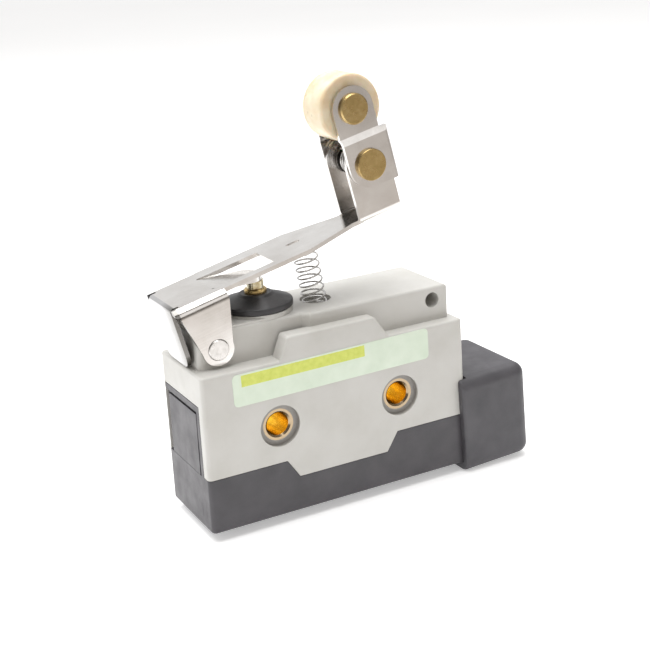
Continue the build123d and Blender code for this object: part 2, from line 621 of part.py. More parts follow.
def make_rivets():
    """Brass pivot rivet and brass roller axle."""
    add("knuckle_rivet", lever_frame * rivet(RIVET_U, RIVET_V, RIVET_R, RIVET_HEAD_R, LOWER_OUTER, 0.12))
    add("roller_axle", lever_frame * rivet(AXLE_U, AXLE_V, AXLE_R, AXLE_HEAD_R, UPPER_OUTER, 0.25))


def make_knuckle_inside():
    """Spacer sleeve on the pivot rivet and the torsion spring wound round it."""
    room = FLANGE_OUTER - SHEET
    sleeve = rod_y(RIVET_U, RIVET_V, -room + 0.1, room - 0.1, SLEEVE_R)
    for y in (0.1 - room, room - 0.1 - FLANGE_T):
        sleeve += rod_y(RIVET_U, RIVET_V, y, y + FLANGE_T, SLEEVE_FLANGE_R)
    sleeve -= rod_y(RIVET_U, RIVET_V, -BODY_W, BODY_W, RIVET_R)
    add("rivet_sleeve", lever_frame * sleeve)
    length = 2 * (room - 0.1 - FLANGE_T) - 0.7
    wound = coil(SLEEVE_R + 0.35, TORSION_PITCH, length, TORSION_WIRE / 2)
    wound = Pos(RIVET_U, length / 2, RIVET_V) * Rot(90, 0, 0) * wound
    add("knuckle_torsion_spring", lever_frame * wound)


def make_roller():
    """Moulded roller with softened rims."""
    roller = rod_y(AXLE_U, AXLE_V, -ROLLER_HALF, ROLLER_HALF, ROLLER_R)
    roller = fillet(roller.edges(), ROLLER_EDGE_R)
    roller -= rod_y(AXLE_U, AXLE_V, -BODY_W, BODY_W, ROLLER_BORE)
    add("roller", lever_frame * roller)


# ---- inner snap-action switch -----------------------------------------------------------------------
def make_switch_case():
    """Moulded body of the inner switch and its cover."""
    case = box(-SW_X, SW_X, -SW_HALF, SW_HALF - SW_WALL, SW_Z[0], SW_Z[1])
    case -= box(-SW_X + SW_WALL, SW_X - SW_WALL, -SW_HALF + SW_WALL, SW_HALF, CHAMBER_Z[0], CHAMBER_Z[1])
    cover = box(-SW_X, SW_X, SW_HALF - SW_WALL, SW_HALF, SW_Z[0], SW_Z[1])
    for x in (-HOLE_PITCH / 2, HOLE_PITCH / 2):
        hole = rod_y(x, HOLE_Z, -BODY_W, BODY_W, BUSH_PASS)
        case -= hole
        cover -= hole
    case -= rod_z(PLUNGER_X, LEVER_Y, CHAMBER_Z[0], SW_Z[1] + 1, PIN_TIP_R + RUN_FIT)
    for x in BASE_SCREW_X:
        case -= rod_z(x, SCREW_Y, 0, SW_Z[0] + 3.0, SCREW_R)
    for x in (ANCHOR_X, CLOSED_X, 0.0):
        half_t = TERMINAL_T / 2
        case -= box(x - half_t, x + half_t, -TERMINAL_HALF, TERMINAL_HALF, SW_Z[0] - 1, CHAMBER_Z[0] + 0.1)
    for x, z in COVER_RIVETS:
        hole = rod_y(x, z, -BODY_W, BODY_W, COVER_RIVET_R)
        case -= hole
        cover -= hole
    add("switch_case", case)
    add("switch_cover", cover)


def make_cover_rivets():
    """Tubular rivets that hold the cover on."""
    pins = [rod_y(x, z, -SW_HALF, SW_HALF, COVER_RIVET_R) for x, z in COVER_RIVETS]
    add("switch_cover_rivets", Part() + pins)


def terminal(x, top_z, tab_x):
    """A strip that rises from its screw tab below the switch."""
    tab_top = SW_Z[0] - TAB_GAP - TERMINAL_T
    strip = box(x - TERMINAL_T / 2, x + TERMINAL_T / 2, -TERMINAL_HALF, TERMINAL_HALF, tab_top, top_z)
    low, high = min(x, tab_x), max(x, tab_x)
    tab = box(low - TERMINAL_T / 2, high + TERMINAL_T / 2, -TERMINAL_HALF, TERMINAL_HALF,
              tab_top - TERMINAL_T, tab_top)
    return strip + tab


def make_terminals():
    """Common, normally open and normally closed terminals, each with its screw and washer."""
    strips = {
        "common_terminal": terminal(ANCHOR_X, BLADE_Z - 0.3, TAB_X[0]),
        "normally_open_terminal": terminal(0.0, CHAMBER_Z[0] + 0.7, TAB_X[1]) + box(
            -TERMINAL_T / 2, CONTACT_X + 1.6, LEVER_Y - ARM_HALF, LEVER_Y + ARM_HALF, CHAMBER_Z[0], ARM_TOP),
        "normally_closed_terminal": terminal(CLOSED_X, CHAMBER_Z[0] + 0.1, TAB_X[2]),
    }
    for (name, strip), x in zip(strips.items(), TERMINAL_SCREW_X):
        add(name, strip - rod_z(x, 0, 0, SW_Z[0], TERMINAL_HOLE_R))
    tab_z = SW_Z[0] - TAB_GAP - 2 * TERMINAL_T
    screws = []
    washers = []
    for x in TERMINAL_SCREW_X:
        washer = rod_z(x, 0, tab_z - 0.5, tab_z, 2.7)
        washers.append(washer - rod_z(x, 0, 0, SW_Z[0], TERMINAL_HOLE_R))
        screw = rod_z(x, 0, tab_z - 1.8, tab_z - 0.5, 2.4)
        screw += rod_z(x, 0, tab_z - 0.6, SW_Z[0] - 0.2, TERMINAL_HOLE_R)
        screw -= box(x - 1.6, x + 1.6, -0.35, 0.35, 0, tab_z - 1.1)
        screws.append(screw - box(x - 0.35, x + 0.35, -1.6, 1.6, 0, tab_z - 1.1))
    add("terminal_screws", Part() + screws)
    add("terminal_washers", Part() + washers)


def make_contacts():
    """Fixed contacts and the bracket that carries the upper one."""
    add("normally_open_contact", rod_z(CONTACT_X, LEVER_Y, ARM_TOP, ARM_TOP + CONTACT_T, CONTACT_R))
    shelf_top = CHAMBER_Z[1] - 0.1
    front, back = LEVER_Y - ARM_HALF, LEVER_Y + ARM_HALF
    riser = box(CLOSED_X - 0.35, CLOSED_X + 0.35, front, back, CHAMBER_Z[0] + 0.1, shelf_top)
    shelf = box(CONTACT_X - 1.6, CLOSED_X + 0.35, front, back, SHELF_Z, shelf_top)
    add("normally_closed_bracket", riser + shelf)
    add("normally_closed_contact", rod_z(CONTACT_X, LEVER_Y, SHELF_Z - CONTACT_T, SHELF_Z, CONTACT_R))


def make_snap_blade():
    """Snap blade with its moving contact and bowed over-centre spring, and the switch pin."""
    blade = box(ANCHOR_X - 0.5, CONTACT_X + 1.6, -BLADE_HALF, BLADE_HALF, BLADE_Z, BLADE_Z + BLADE_T)
    blade -= box(BLADE_SLOT[0], BLADE_SLOT[1], -SLOT_Y, SLOT_Y, BLADE_Z - 1, BLADE_Z + 1)
    blade -= rod_z(CONTACT_X, 0, 0, HEAD_TOP, 0.6)
    add("snap_blade", Pos(0, LEVER_Y, 0) * blade)
    contact = rod_z(CONTACT_X, 0, BLADE_Z - 0.55, BLADE_Z, 1.3)
    contact += rod_z(CONTACT_X, 0, BLADE_Z + BLADE_T, SHELF_Z - CONTACT_T - 0.02, 1.3)
    contact += rod_z(CONTACT_X, 0, BLADE_Z - 0.1, BLADE_Z + 0.4, 0.6)
    add("moving_contact", Pos(0, LEVER_Y, 0) * contact)
    left, right = BLADE_SLOT[0] + 0.1, BLADE_SLOT[1] - 0.1
    low, sag = BLADE_Z + 0.05, BLADE_Z - 0.9
    high = low + SNAP_T
    bow = [
        (left, low), (PLUNGER_X, low), (0.0, sag), (right, low),
        (right, high), (0.0, sag + SNAP_T), (PLUNGER_X, high), (left, high),
    ]
    add("snap_spring", side_slab(bow, LEVER_Y - SLOT_Y + 0.3, LEVER_Y + SLOT_Y - 0.3))
    pin = rod_z(PLUNGER_X, LEVER_Y, BLADE_Z + 0.27, PIN_TIP_TOP, PIN_TIP_R)
    add("switch_pin", fillet(pin.edges().group_by(Axis.Z)[-1], 0.3))


make_case()
make_base()
make_gasket()
make_base_screws()
make_bushes()
make_label()
make_boot()
make_pivot_pin()
make_guide()
make_cap()
make_plunger()
make_lever()
make_return_spring()
make_knuckle()
make_rivets()
make_knuckle_inside()
make_roller()
make_switch_case()
make_cover_rivets()
make_terminals()
make_contacts()
make_snap_blade()

os.makedirs("parts", exist_ok=True)
for name, shape in parts.items():
    export_step(row_shift * shape, f"parts/{name}.step")
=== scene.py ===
"""Looks of the enclosed limit switch.

Surface materials for the parts carried over from the CAD, finer springs, seal and label made as
meshes, and the floor, lights and camera. Lengths are in metres, in the shared row frame.
"""

import math

import bpy
from mathutils import Matrix, Vector


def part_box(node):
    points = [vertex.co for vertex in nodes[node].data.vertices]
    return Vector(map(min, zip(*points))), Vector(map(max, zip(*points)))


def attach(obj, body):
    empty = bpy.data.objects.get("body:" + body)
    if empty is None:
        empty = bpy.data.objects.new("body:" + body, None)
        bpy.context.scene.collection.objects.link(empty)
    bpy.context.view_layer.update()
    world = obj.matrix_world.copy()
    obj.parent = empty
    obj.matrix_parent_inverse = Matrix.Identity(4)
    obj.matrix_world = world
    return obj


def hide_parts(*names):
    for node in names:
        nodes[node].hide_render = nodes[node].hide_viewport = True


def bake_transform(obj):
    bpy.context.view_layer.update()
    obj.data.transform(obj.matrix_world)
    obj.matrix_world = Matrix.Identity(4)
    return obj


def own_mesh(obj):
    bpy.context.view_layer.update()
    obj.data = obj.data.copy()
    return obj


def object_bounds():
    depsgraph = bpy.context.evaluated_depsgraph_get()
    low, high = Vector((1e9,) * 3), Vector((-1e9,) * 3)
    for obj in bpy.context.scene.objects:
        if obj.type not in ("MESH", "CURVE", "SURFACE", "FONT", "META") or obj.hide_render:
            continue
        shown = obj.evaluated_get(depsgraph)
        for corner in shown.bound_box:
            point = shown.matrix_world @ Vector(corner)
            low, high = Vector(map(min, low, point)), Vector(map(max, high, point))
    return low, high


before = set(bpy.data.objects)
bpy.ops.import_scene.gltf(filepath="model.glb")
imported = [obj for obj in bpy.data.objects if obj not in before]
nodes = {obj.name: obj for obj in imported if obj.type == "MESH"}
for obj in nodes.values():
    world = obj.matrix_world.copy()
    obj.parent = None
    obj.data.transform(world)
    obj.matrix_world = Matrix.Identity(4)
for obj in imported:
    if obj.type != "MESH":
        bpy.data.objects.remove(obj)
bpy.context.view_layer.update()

MM = 0.001
AXIS_Y = -9.0 * MM
LEVER_TILT = math.radians(13.0)


def middle_of(node):
    """Centre of a part's box at rest."""
    low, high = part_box(node)
    return (Vector(low) + Vector(high)) / 2


PLUNGER = Vector((middle_of("plunger").x, AXIS_Y, 0.0))
RIVET = middle_of("knuckle_rivet")


# ---- material building blocks -----------------------------------------------------------------
def material(name, **sockets):
    """A Principled material; keyword names are the shader's sockets with spaces as underscores."""
    mat = bpy.data.materials.new(name)
    mat.use_nodes = True
    shader = mat.node_tree.nodes["Principled BSDF"]
    for key, value in sockets.items():
        shader.inputs[key.replace("_", " ")].default_value = value
    return mat


def shader_of(mat):
    """The material's Principled shader."""
    return mat.node_tree.nodes["Principled BSDF"]


def link(mat, source, target):
    """Joins an output socket to an input socket."""
    mat.node_tree.links.new(source, target)


def noise(mat, scale, detail=3.0, stretch=(1.0, 1.0, 1.0), turn=(0.0, 0.0, 0.0), roughness=0.55):
    """Noise in object space, scale in features per metre, stretched along the turned axes."""
    tree = mat.node_tree
    place = tree.nodes.new("ShaderNodeTexCoord")
    mapping = tree.nodes.new("ShaderNodeMapping")
    mapping.vector_type = "TEXTURE"
    mapping.inputs["Rotation"].default_value = turn
    mapping.inputs["Scale"].default_value = stretch
    texture = tree.nodes.new("ShaderNodeTexNoise")
    texture.inputs["Scale"].default_value = scale
    texture.inputs["Detail"].default_value = detail
    texture.inputs["Roughness"].default_value = roughness
    link(mat, place.outputs["Object"], mapping.inputs["Vector"])
    link(mat, mapping.outputs["Vector"], texture.inputs["Vector"])
    return texture.outputs["Fac"]


def ramp(mat, value, stops):
    """Colours over a value, as (position, colour) pairs."""
    node = mat.node_tree.nodes.new("ShaderNodeValToRGB")
    band = node.color_ramp
    band.elements[0].position, band.elements[0].color = stops[0][0], (*stops[0][1], 1.0)
    band.elements[1].position, band.elements[1].color = stops[-1][0], (*stops[-1][1], 1.0)
    for position, colour in stops[1:-1]:
        element = band.elements.new(position)
        element.color = (*colour, 1.0)
    link(mat, value, node.inputs["Fac"])
    return node.outputs["Color"]


def spread(mat, value, low, high, start=0.3, end=0.7):
    """Maps the middle of a noise onto a range of numbers."""
    node = mat.node_tree.nodes.new("ShaderNodeMapRange")
    for key, number in (("From Min", start), ("From Max", end), ("To Min", low), ("To Max", high)):
        node.inputs[key].default_value = number
    link(mat, value, node.inputs["Value"])
    return node.outputs["Result"]


def blend_colour(mat, factor, first, second, mode="MIX"):
    """Mixes two colours, each a socket or an RGB value, by a factor socket or number."""
    node = mat.node_tree.nodes.new("ShaderNodeMix")
    node.data_type = "RGBA"
    node.blend_type = mode
    colour_a = [s for s in node.inputs if s.name == "A" and s.type == "RGBA"][0]
    colour_b = [s for s in node.inputs if s.name == "B" and s.type == "RGBA"][0]
    for socket, source in ((node.inputs[0], factor), (colour_a, first), (colour_b, second)):
        if hasattr(source, "is_output"):
            link(mat, source, socket)
        elif isinstance(source, tuple):
            socket.default_value = (*source, 1.0)
        else:
            socket.default_value = source
    return [s for s in node.outputs if s.type == "RGBA"][0]


def bump(mat, height, distance, strength=1.0, below=None):
    """Bump of a real height in metres, optionally on top of another bump."""
    node = mat.node_tree.nodes.new("ShaderNodeBump")
    node.inputs["Strength"].default_value = strength
    node.inputs["Distance"].default_value = distance
    link(mat, height, node.inputs["Height"])
    if below is not None:
        link(mat, below, node.inputs["Normal"])
    return node.outputs["Normal"]


def finish_surface(mat, colour=None, roughness=None, normal=None):
    """Links what is given to the shader and returns the material."""
    shader = shader_of(mat)
    if colour is not None:
        link(mat, colour, shader.inputs["Base Color"])
    if roughness is not None:
        link(mat, roughness, shader.inputs["Roughness"])
    if normal is not None:
        link(mat, normal, shader.inputs["Normal"])
    return mat


def moulded(name, dark, mid, light, rough, grain, grain_height, **sockets):
    """Moulded plastic or rubber: cloudy colour, fine specks and a fine mould grain."""
    mat = material(name, **sockets)
    cloud = noise(mat, 140.0, detail=4.0)
    colour = ramp(mat, cloud, [(0.25, dark), (0.5, mid), (0.75, light)])
    speck = noise(mat, 1900.0, detail=2.0)
    colour = blend_colour(mat, spread(mat, speck, 0.0, 0.35, 0.62, 0.8), colour, dark)
    gloss = spread(mat, noise(mat, 320.0, detail=3.0), rough[0], rough[1])
    fine = bump(mat, noise(mat, grain, detail=2.0), grain_height)
    wavy = bump(mat, noise(mat, 90.0, detail=1.0), 0.06 * MM, 0.35, fine)
    return finish_surface(mat, colour, gloss, wavy)


def sheet_metal(name, dark, light, rough, along, **sockets):
    """Plated sheet with faint rolling lines along it and cloudy tarnish."""
    mat = material(name, Metallic=1.0, **sockets)
    cloud = noise(mat, 110.0, detail=4.0)
    lines = noise(mat, 2600.0, detail=2.0, stretch=(26.0, 1.0, 1.0), turn=along)
    colour = ramp(mat, cloud, [(0.3, dark), (0.7, light)])
    colour = blend_colour(mat, spread(mat, lines, 0.0, 0.22, 0.45, 0.75), colour, dark)
    gloss = spread(mat, noise(mat, 420.0, detail=3.0), rough[0], rough[1])
    fine = bump(mat, lines, 0.004 * MM)
    wavy = bump(mat, noise(mat, 160.0, detail=1.0), 0.03 * MM, 0.5, fine)
    return finish_surface(mat, colour, gloss, wavy)


def turned(name, dark, mid, light, rough, dents=0.5, **sockets):
    """Turned or headed metal: mottled colour, small dents and scratches."""
    mat = material(name, Metallic=1.0, **sockets)
    mottle = noise(mat, 520.0, detail=5.0, roughness=0.7)
    colour = ramp(mat, mottle, [(0.3, dark), (0.52, mid), (0.72, light)])
    gloss = spread(mat, noise(mat, 900.0, detail=3.0), rough[0], rough[1])
    scratches = noise(mat, 2200.0, detail=2.0, stretch=(9.0, 9.0, 1.0), turn=(0.3, 0.2, 0.7))
    normal = bump(mat, scratches, 0.006 * MM, 0.8, bump(mat, mottle, 0.03 * MM, dents))
    return finish_surface(mat, colour, gloss, normal)


# ---- materials ----------------------------------------------------------------------------------
LEVER_TURN = (0.0, -LEVER_TILT, 0.0)
UPRIGHT_TURN = (0.0, -LEVER_TILT - math.pi / 2, 0.0)

case_plastic = moulded(
    "case_moulding", (0.545, 0.535, 0.500), (0.590, 0.580, 0.550), (0.618, 0.610, 0.582),
    (0.36, 0.50), 3600.0, 0.012 * MM)
base_plastic = moulded(
    "base_moulding", (0.050, 0.047, 0.053), (0.064, 0.060, 0.067), (0.080, 0.075, 0.083),
    (0.34, 0.50), 3000.0, 0.018 * MM)
boot_rubber = moulded(
    "boot_moulding", (0.058, 0.056, 0.062), (0.074, 0.071, 0.079), (0.090, 0.086, 0.095),
    (0.40, 0.56), 2500.0, 0.022 * MM)
seal_rubber = moulded(
    "seal_moulding", (0.024, 0.023, 0.025), (0.034, 0.033, 0.035), (0.046, 0.044, 0.048),
    (0.36, 0.52), 2600.0, 0.015 * MM)
switch_moulding = moulded(
    "switch_moulding", (0.040, 0.018, 0.010), (0.055, 0.026, 0.015), (0.070, 0.034, 0.020),
    (0.30, 0.45), 2600.0, 0.015 * MM)
knuckle_steel = sheet_metal(
    "knuckle_plating", (0.60, 0.57, 0.54), (0.78, 0.76, 0.74), (0.14, 0.26), UPRIGHT_TURN)
pin_steel = turned(
    "pin_metal", (0.52, 0.50, 0.47), (0.70, 0.68, 0.66), (0.82, 0.80, 0.78), (0.22, 0.38))
screw_steel = turned(
    "screw_metal", (0.50, 0.50, 0.50), (0.68, 0.68, 0.69), (0.80, 0.80, 0.80), (0.20, 0.34))
spring_steel = turned(
    "spring_metal", (0.40, 0.39, 0.38), (0.58, 0.57, 0.56), (0.74, 0.73, 0.72), (0.20, 0.34))
head_brass = turned(
    "head_brass", (0.42, 0.30, 0.12), (0.50, 0.36, 0.155), (0.60, 0.46, 0.23), (0.24, 0.36), dents=0.2)
stem_brass = turned(
    "stem_brass", (0.30, 0.20, 0.10), (0.56, 0.48, 0.30), (0.76, 0.73, 0.60), (0.18, 0.30))
sleeve_steel = turned(
    "sleeve_metal", (0.10, 0.09, 0.085), (0.17, 0.16, 0.15), (0.28, 0.27, 0.26), (0.24, 0.38))
spring_copper = turned(
    "blade_metal", (0.50, 0.26, 0.12), (0.66, 0.38, 0.20), (0.80, 0.52, 0.32), (0.22, 0.34))
contact_metal = turned(
    "contact_metal", (0.70, 0.70, 0.68), (0.82, 0.82, 0.80), (0.92, 0.92, 0.90), (0.18, 0.30))


def object_axes(mat):
    """The X, Y and Z of the object's own coordinates, as sockets."""
    place = mat.node_tree.nodes.new("ShaderNodeTexCoord")
    axes = mat.node_tree.nodes.new("ShaderNodeSeparateXYZ")
    link(mat, place.outputs["Object"], axes.inputs["Vector"])
    return axes.outputs


def arithmetic(mat, operation, first, second=0.0):
    """One maths node; each term is a socket or a number."""
    node = mat.node_tree.nodes.new("ShaderNodeMath")
    node.operation = operation
    for socket, source in ((node.inputs[0], first), (node.inputs[1], second)):
        if hasattr(source, "is_output"):
            link(mat, source, socket)
        else:
            socket.default_value = source
    return node.outputs["Value"]


def recolour(mat, factor, colour):
    """Mixes another colour over a finished material's base colour."""
    base = shader_of(mat).inputs["Base Color"]
    mixed = blend_colour(mat, factor, base.links[0].from_socket, colour)
    link(mat, mixed, base)
    return mat


COUNTERBORE_R = 4.0 * MM
TAB_FACE = -4.7 * MM


def bushing():
    """Bright brass bore with a duller, tan front rim."""
    mat = turned(
        "bush_brass", (0.72, 0.50, 0.10), (0.88, 0.64, 0.15), (0.96, 0.76, 0.26), (0.16, 0.26),
        dents=0.12)
    low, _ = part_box("mounting_bushes")
    depth = object_axes(mat)["Y"]
    rim = spread(mat, depth, 1.0, 0.0, low.y + 0.30 * MM, low.y + 0.45 * MM)
    return recolour(mat, rim, (0.40, 0.31, 0.205))


def paint_counterbore_shade(mat):
    """Paints shade on the recessed ring round each mounting bush, darkening it as the shade in a deeper
    counterbore would.
    """
    axes = object_axes(mat)
    bush_low, bush_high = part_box("mounting_bushes")
    case_low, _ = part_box("case_shell")
    bush_r = (bush_high.z - bush_low.z) / 2
    aside = arithmetic(mat, "SUBTRACT", arithmetic(mat, "ABSOLUTE", axes["X"]), bush_high.x - bush_r)
    aside_squared = arithmetic(mat, "POWER", aside, 2.0)
    rise_squared = arithmetic(mat, "POWER", axes["Z"], 2.0)
    span = arithmetic(mat, "ADD", aside_squared, rise_squared)
    near_hole = spread(mat, span, 1.0, 0.0, COUNTERBORE_R ** 2, (COUNTERBORE_R + 0.06 * MM) ** 2)
    recessed = spread(mat, axes["Y"], 0.0, 1.0, case_low.y + 0.1 * MM, case_low.y + 0.6 * MM)
    # Painted shade: the ring inside the recess is mixed towards dark grey.
    return recolour(mat, arithmetic(mat, "MULTIPLY", near_hole, recessed), (0.32, 0.305, 0.285))


def plated_lever():
    """Lever plating, with painted shade on the rear tab that is darkest towards the tab's near edge."""
    mat = sheet_metal(
        "lever_plating", (0.64, 0.61, 0.58), (0.80, 0.785, 0.765), (0.13, 0.24), LEVER_TURN)
    axes = object_axes(mat)
    pivot = middle_of("lever_pivot_pin")
    from_pivot = arithmetic(mat, "SUBTRACT", axes["X"], pivot.x)
    above_pivot = arithmetic(mat, "SUBTRACT", axes["Z"], pivot.z)
    level_share = arithmetic(mat, "MULTIPLY", from_pivot, math.cos(LEVER_TILT))
    upright_share = arithmetic(mat, "MULTIPLY", above_pivot, math.sin(LEVER_TILT))
    along_lever = arithmetic(mat, "ADD", level_share, upright_share)
    # Painted shade: the rear tab is mixed towards grey, and towards near-black at its near edge, for the
    # shade between the tab and the head.
    on_tab = spread(mat, along_lever, 0.9, 0.0, TAB_FACE - 0.05 * MM, TAB_FACE + 0.15 * MM)
    near_edge_shade = spread(mat, axes["Y"], 1.0, 0.0, pivot.y - 5.0 * MM, pivot.y - 0.5 * MM)
    shade = blend_colour(mat, near_edge_shade, (0.56, 0.555, 0.56), (0.17, 0.165, 0.155))
    return recolour(mat, on_tab, shade)


def nylon():
    """Cream nylon, a little translucent, warmer in its mottled parts."""
    mat = material("roller_moulding", Subsurface_Weight=0.35, Subsurface_Radius=(1.0, 0.55, 0.28),
                   Subsurface_Scale=1.6 * MM, Specular_IOR_Level=0.5)
    cloud = noise(mat, 260.0, detail=4.0)
    shades = [(0.3, (0.68, 0.54, 0.33)), (0.5, (0.76, 0.65, 0.46)), (0.7, (0.82, 0.74, 0.57))]
    colour = ramp(mat, cloud, shades)
    gloss = spread(mat, noise(mat, 700.0), 0.26, 0.42)
    scuff = noise(mat, 1500.0, detail=2.0, stretch=(1.0, 14.0, 1.0))
    return finish_surface(mat, colour, gloss, bump(mat, scuff, 0.010 * MM))


def label_film():
    """Pale green printed film with a yellow-green band, in the label's own coordinates."""
    mat = material("label_print", Specular_IOR_Level=0.45, Coat_Weight=0.2, Coat_Roughness=0.25)
    axes = object_axes(mat)
    inside = 1.0
    for axis, (low, high) in (("X", BAND_X), ("Y", BAND_Y)):
        for operation, edge in (("GREATER_THAN", low), ("LESS_THAN", high)):
            test = arithmetic(mat, operation, axes[axis], edge)
            inside = arithmetic(mat, "MULTIPLY", inside, test)
    paper = ramp(mat, noise(mat, 240.0), [(0.3, (0.66, 0.76, 0.62)), (0.7, (0.74, 0.83, 0.70))])
    ink = ramp(mat, noise(mat, 900.0), [(0.3, (0.60, 0.67, 0.10)), (0.7, (0.70, 0.76, 0.16))])
    colour = blend_colour(mat, inside, paper, ink)
    gloss = spread(mat, noise(mat, 500.0), 0.30, 0.42)
    return finish_surface(mat, colour, gloss, bump(mat, noise(mat, 420.0), 0.01 * MM))


# ---- mesh building blocks -------------------------------------------------------------------------
def mesh_piece(name, points, faces, mat, smooth=True):
    """A new mesh object from points and faces."""
    mesh = bpy.data.meshes.new(name)
    mesh.from_pydata([tuple(p) for p in points], [], faces)
    mesh.validate()
    mesh.materials.append(mat)
    for face in mesh.polygons:
        face.use_smooth = smooth
    piece = bpy.data.objects.new(name, mesh)
    bpy.context.scene.collection.objects.link(piece)
    return piece


def tube(name, path, radius, mat, sides=14):
    """A closed wire of round section along a list of points."""
    points, faces = [], []
    across = Vector((0.31, 0.83, 0.47))
    for i, centre in enumerate(path):
        ahead = path[min(i + 1, len(path) - 1)] - path[max(i - 1, 0)]
        ahead.normalize()
        across = (across - ahead * across.dot(ahead)).normalized()
        other = ahead.cross(across)
        for k in range(sides):
            turn = 2 * math.pi * k / sides
            points.append(centre + (across * math.cos(turn) + other * math.sin(turn)) * radius)
    for i in range(len(path) - 1):
        for k in range(sides):
            a, b = i * sides + k, i * sides + (k + 1) % sides
            faces.append((a, b, b + sides, a + sides))
    faces.append(tuple(reversed(range(sides))))
    faces.append(tuple(range((len(path) - 1) * sides, len(path) * sides)))
    return mesh_piece(name, points, faces, mat)


def coil_path(foot, crown, radius, turns, dead_turns, wire, steps=40):
    """Points of a compression spring between two points, with closed turns at both ends."""
    axis = crown - foot
    length = axis.length
    up = axis.normalized()
    side = up.cross(Vector((0, 1, 0))).normalized()
    other = up.cross(side)
    path = []
    count = int(turns * steps)
    dead_rise = dead_turns * wire
    for i in range(count + 1):
        turn = turns * i / count
        if turn < dead_turns:
            rise = turn * wire
        elif turn > turns - dead_turns:
            rise = length - (turns - turn) * wire
        else:
            share = (turn - dead_turns) / (turns - 2 * dead_turns)
            rise = dead_rise + share * (length - 2 * dead_rise)
        angle = 2 * math.pi * turn
        path.append(foot + up * rise + (side * math.cos(angle) + other * math.sin(angle)) * radius)
    return path


def lathe(name, profile, centre, mat, steps=96):
    """A ring turned from a closed profile of (radius, height) points."""
    points, faces = [], []
    count = len(profile)
    for i in range(steps):
        turn = 2 * math.pi * i / steps
        for r, z in profile:
            points.append(centre + Vector((r * math.cos(turn), r * math.sin(turn), z)))
    for i in range(steps):
        for k in range(count):
            a, b = i * count + k, i * count + (k + 1) % count
            c, d = ((i + 1) % steps) * count + (k + 1) % count, ((i + 1) % steps) * count + k
            faces.append((a, d, c, b))
    return mesh_piece(name, points, faces, mat)


def rounded(corners, radii, steps=6):
    """A closed outline with its corners rounded."""
    outline = []
    count = len(corners)
    for i, (corner, radius) in enumerate(zip(corners, radii)):
        here = Vector(corner)
        if radius <= 0:
            outline.append(tuple(here))
            continue
        before = (Vector(corners[i - 1]) - here).normalized()
        after = (Vector(corners[(i + 1) % count]) - here).normalized()
        half = before.angle(after) / 2
        reach = radius / math.tan(half)
        start, end = here + before * reach, here + after * reach
        for s in range(steps + 1):
            t = s / steps
            outline.append(tuple(start.lerp(here, t).lerp(here.lerp(end, t), t)))
    return outline


# ---- rating label ---------------------------------------------------------------------------------
LABEL_SIZE = (40.8 * MM, 6.1 * MM)
LABEL_CORNER = 1.0 * MM
LABEL_THICK = 0.08 * MM
LABEL_SLANT = math.radians(0.7)
BAND_X = (-18.7 * MM, 6.5 * MM)
BAND_Y = (0.55 * MM, 2.75 * MM)


def make_label():
    """A thin film with rounded corners, stuck on very slightly askew."""
    low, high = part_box("rating_label")
    middle = (low + high) / 2
    half_x, half_z = LABEL_SIZE[0] / 2, LABEL_SIZE[1] / 2
    corners = [(-half_x, -half_z), (half_x, -half_z), (half_x, half_z), (-half_x, half_z)]
    outline = rounded(corners, [LABEL_CORNER] * 4)
    count = len(outline)
    inset = [(x * (1 - 0.04 * MM / half_x), y * (1 - 0.04 * MM / half_z)) for x, y in outline]
    rings = [(outline, 0.0), (outline, LABEL_THICK * 0.6), (inset, LABEL_THICK)]
    points = [Vector((x, y, z)) for ring, z in rings for x, y in ring]
    faces = [tuple(reversed(range(count))), tuple(range(2 * count, 3 * count))]
    for level in range(2):
        for k in range(count):
            a, b = level * count + k, level * count + (k + 1) % count
            faces.append((a, b, b + count, a + count))
    label = mesh_piece("label_plate", points, faces, label_film(), smooth=False)
    turn = Matrix.Rotation(math.pi / 2, 4, "X") @ Matrix.Rotation(LABEL_SLANT, 4, "Z")
    label.matrix_world = Matrix.Translation((middle.x, high.y, middle.z)) @ turn
    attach(label, "housing")
    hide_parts("rating_label")


# ---- seal round the plunger --------------------------------------------------------------------------
def make_seal():
    """Moulded rubber seal: upright rim, sloping roof and a raised lip that grips the plunger."""
    low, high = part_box("plunger_diaphragm")
    seat, top = low.z, high.z
    rim_r = (high.x - low.x) / 2
    skirt_r = rim_r + 0.12 * MM
    bore_r = 1.7 * MM
    corners = [
        (bore_r, top - 0.85 * MM), (bore_r, top), (3.0 * MM, top), (3.5 * MM, top - 0.4 * MM),
        (rim_r - 0.75 * MM, top - 1.3 * MM), (skirt_r, top - 1.6 * MM), (skirt_r, seat + 0.2 * MM),
        (rim_r - 1.2 * MM, seat + 0.2 * MM), (rim_r - 1.2 * MM, seat + 0.02 * MM),
        (rim_r - 1.8 * MM, seat + 0.02 * MM), (rim_r - 1.9 * MM, top - 1.95 * MM),
        (3.5 * MM, top - 1.1 * MM),
    ]
    radii = [0, 0.15, 0.25, 0.3, 0.3, 0.3, 0.1, 0, 0, 0, 0.2, 0.2]
    seal = lathe("seal_ring", rounded(corners, [r * MM for r in radii]), PLUNGER, seal_rubber)
    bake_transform(seal)
    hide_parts("plunger_diaphragm")


# ---- springs ------------------------------------------------------------------------------------------
RETURN_FOOT = Vector((1.3, -9.0, 17.25)) * MM
RETURN_CROWN = Vector((-0.47, -9.0, 29.45)) * MM
RETURN_COIL_R = 2.25 * MM
RETURN_WIRE_R = 0.19 * MM
RETURN_TURNS = 9.5
OVERTRAVEL_COIL_R = 0.7 * MM
OVERTRAVEL_WIRE_R = 0.09 * MM
TORSION_COIL_R = 2.45 * MM
TORSION_WIRE_R = 0.2 * MM
TORSION_TURNS = 6.25
TORSION_LEG_STEPS = 6


